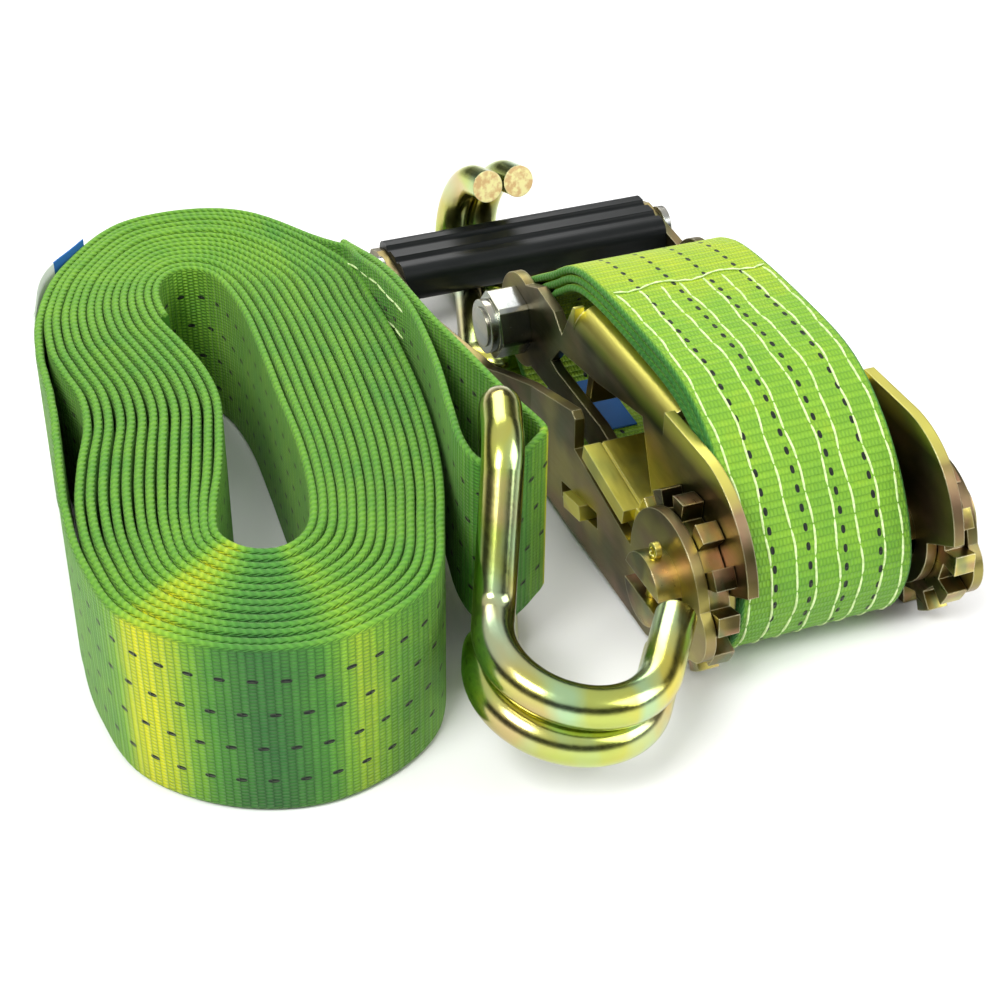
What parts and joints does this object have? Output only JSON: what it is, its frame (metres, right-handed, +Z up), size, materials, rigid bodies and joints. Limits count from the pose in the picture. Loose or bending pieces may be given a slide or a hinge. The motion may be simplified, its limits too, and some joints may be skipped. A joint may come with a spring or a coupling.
{
  "type": "ratchet strap",
  "caption": "Ratchet tie-down: lime webbing coiled on its edge, closed ratchet lying upside down beside it, bent wire hooks at both ends.",
  "frame": {"origin": "bottom centre of the whole object's box, on the surface that it lies on", "axes": "+Z up; +Y from the ratchet's hub towards its grip, along the length; +X along the spindle, from the coil towards the ratchet"},
  "size_m": [0.2384, 0.271, 0.0753],
  "materials": {
    "frame_zinc": "yellow zinc passivated steel, slightly iridescent",
    "pawl_zinc": "bright yellow zinc",
    "hook_zinc": "smooth yellow zinc with green, pink and blue iridescence",
    "bolt_steel": "clear zinc plated",
    "black_plastic": "satin black",
    "webbing": "woven polyester, lime green",
    "label": "blue and white woven label, blank"
  },
  "bodies": {
    "frame": {"frame_plate_left": "frame_zinc", "frame_plate_right": "frame_zinc", "frame_rivets": "frame_zinc", "frame_bolt": "bolt_steel", "frame_nut": "bolt_steel", "bolt_sleeve": "frame_zinc", "base_pawl_springs": "bolt_steel", "frame_spring_bar": "frame_zinc", "short_strap_front": "webbing"},
    "spindle": {"spindle_upper": "bolt_steel", "spindle_lower": "bolt_steel", "spindle_cotters": "bolt_steel", "ratchet_wheel_left": "pawl_zinc", "ratchet_wheel_right": "pawl_zinc"},
    "base_pawl": {"base_pawl": "pawl_zinc"},
    "handle": {"handle_plate_left": "frame_zinc", "handle_plate_right": "frame_zinc", "grip": "black_plastic", "grip_rod": "bolt_steel", "handle_spring_bar": "frame_zinc", "handle_pawl_springs": "bolt_steel", "short_strap_tail": "webbing", "short_strap_label": "label"},
    "handle_pawl": {"handle_pawl": "pawl_zinc"},
    "short_hook": {"back_hook": "hook_zinc"},
    "long_strap": {"long_strap_coil": "webbing", "long_strap_tail": "webbing", "long_strap_eye": "webbing", "coil_label": "label"},
    "long_hook": {"front_hook": "hook_zinc"}
  },
  "joints": [
    {"name": "spindle_turn", "type": "hinge", "parent": "frame", "child": "spindle", "pos_m": [0.06685, -0.0853, 0.024], "axis": [1, 0, 0], "continuous": true},
    {"name": "base_pawl_slide", "type": "slide", "parent": "frame", "child": "base_pawl", "axis": [0, 0.9848, 0.1736], "range_m": [0, 0.006], "stiffness_N_per_m": 900, "springref_m": -0.004, "deforming": ["base_pawl_springs"]},
    {"name": "handle_turn", "type": "hinge", "parent": "frame", "child": "handle", "pos_m": [0.06685, -0.0853, 0.024], "axis": [-1, 0, 0], "range_deg": [0, 180]},
    {"name": "handle_pawl_slide", "type": "slide", "parent": "handle", "child": "handle_pawl", "axis": [0, 0.9816, -0.1908], "range_m": [0, 0.006], "stiffness_N_per_m": 900, "springref_m": -0.004, "deforming": ["handle_pawl_springs"]},
    {"name": "short_hook_slack", "type": "slide", "parent": "handle", "child": "short_hook", "axis": [0, -1, 0], "range_m": [0, 0.002]},
    {"name": "long_strap_move", "type": "slide", "parent": "frame", "child": "long_strap", "axis": [-1, 0, 0], "range_m": [0, 0.15]},
    {"name": "long_hook_swivel", "type": "hinge", "parent": "long_strap", "child": "long_hook", "pos_m": [-0.00665, -0.0533, 0.035], "axis": [0, 0, -1], "range_deg": [0, 4]}
  ]
}
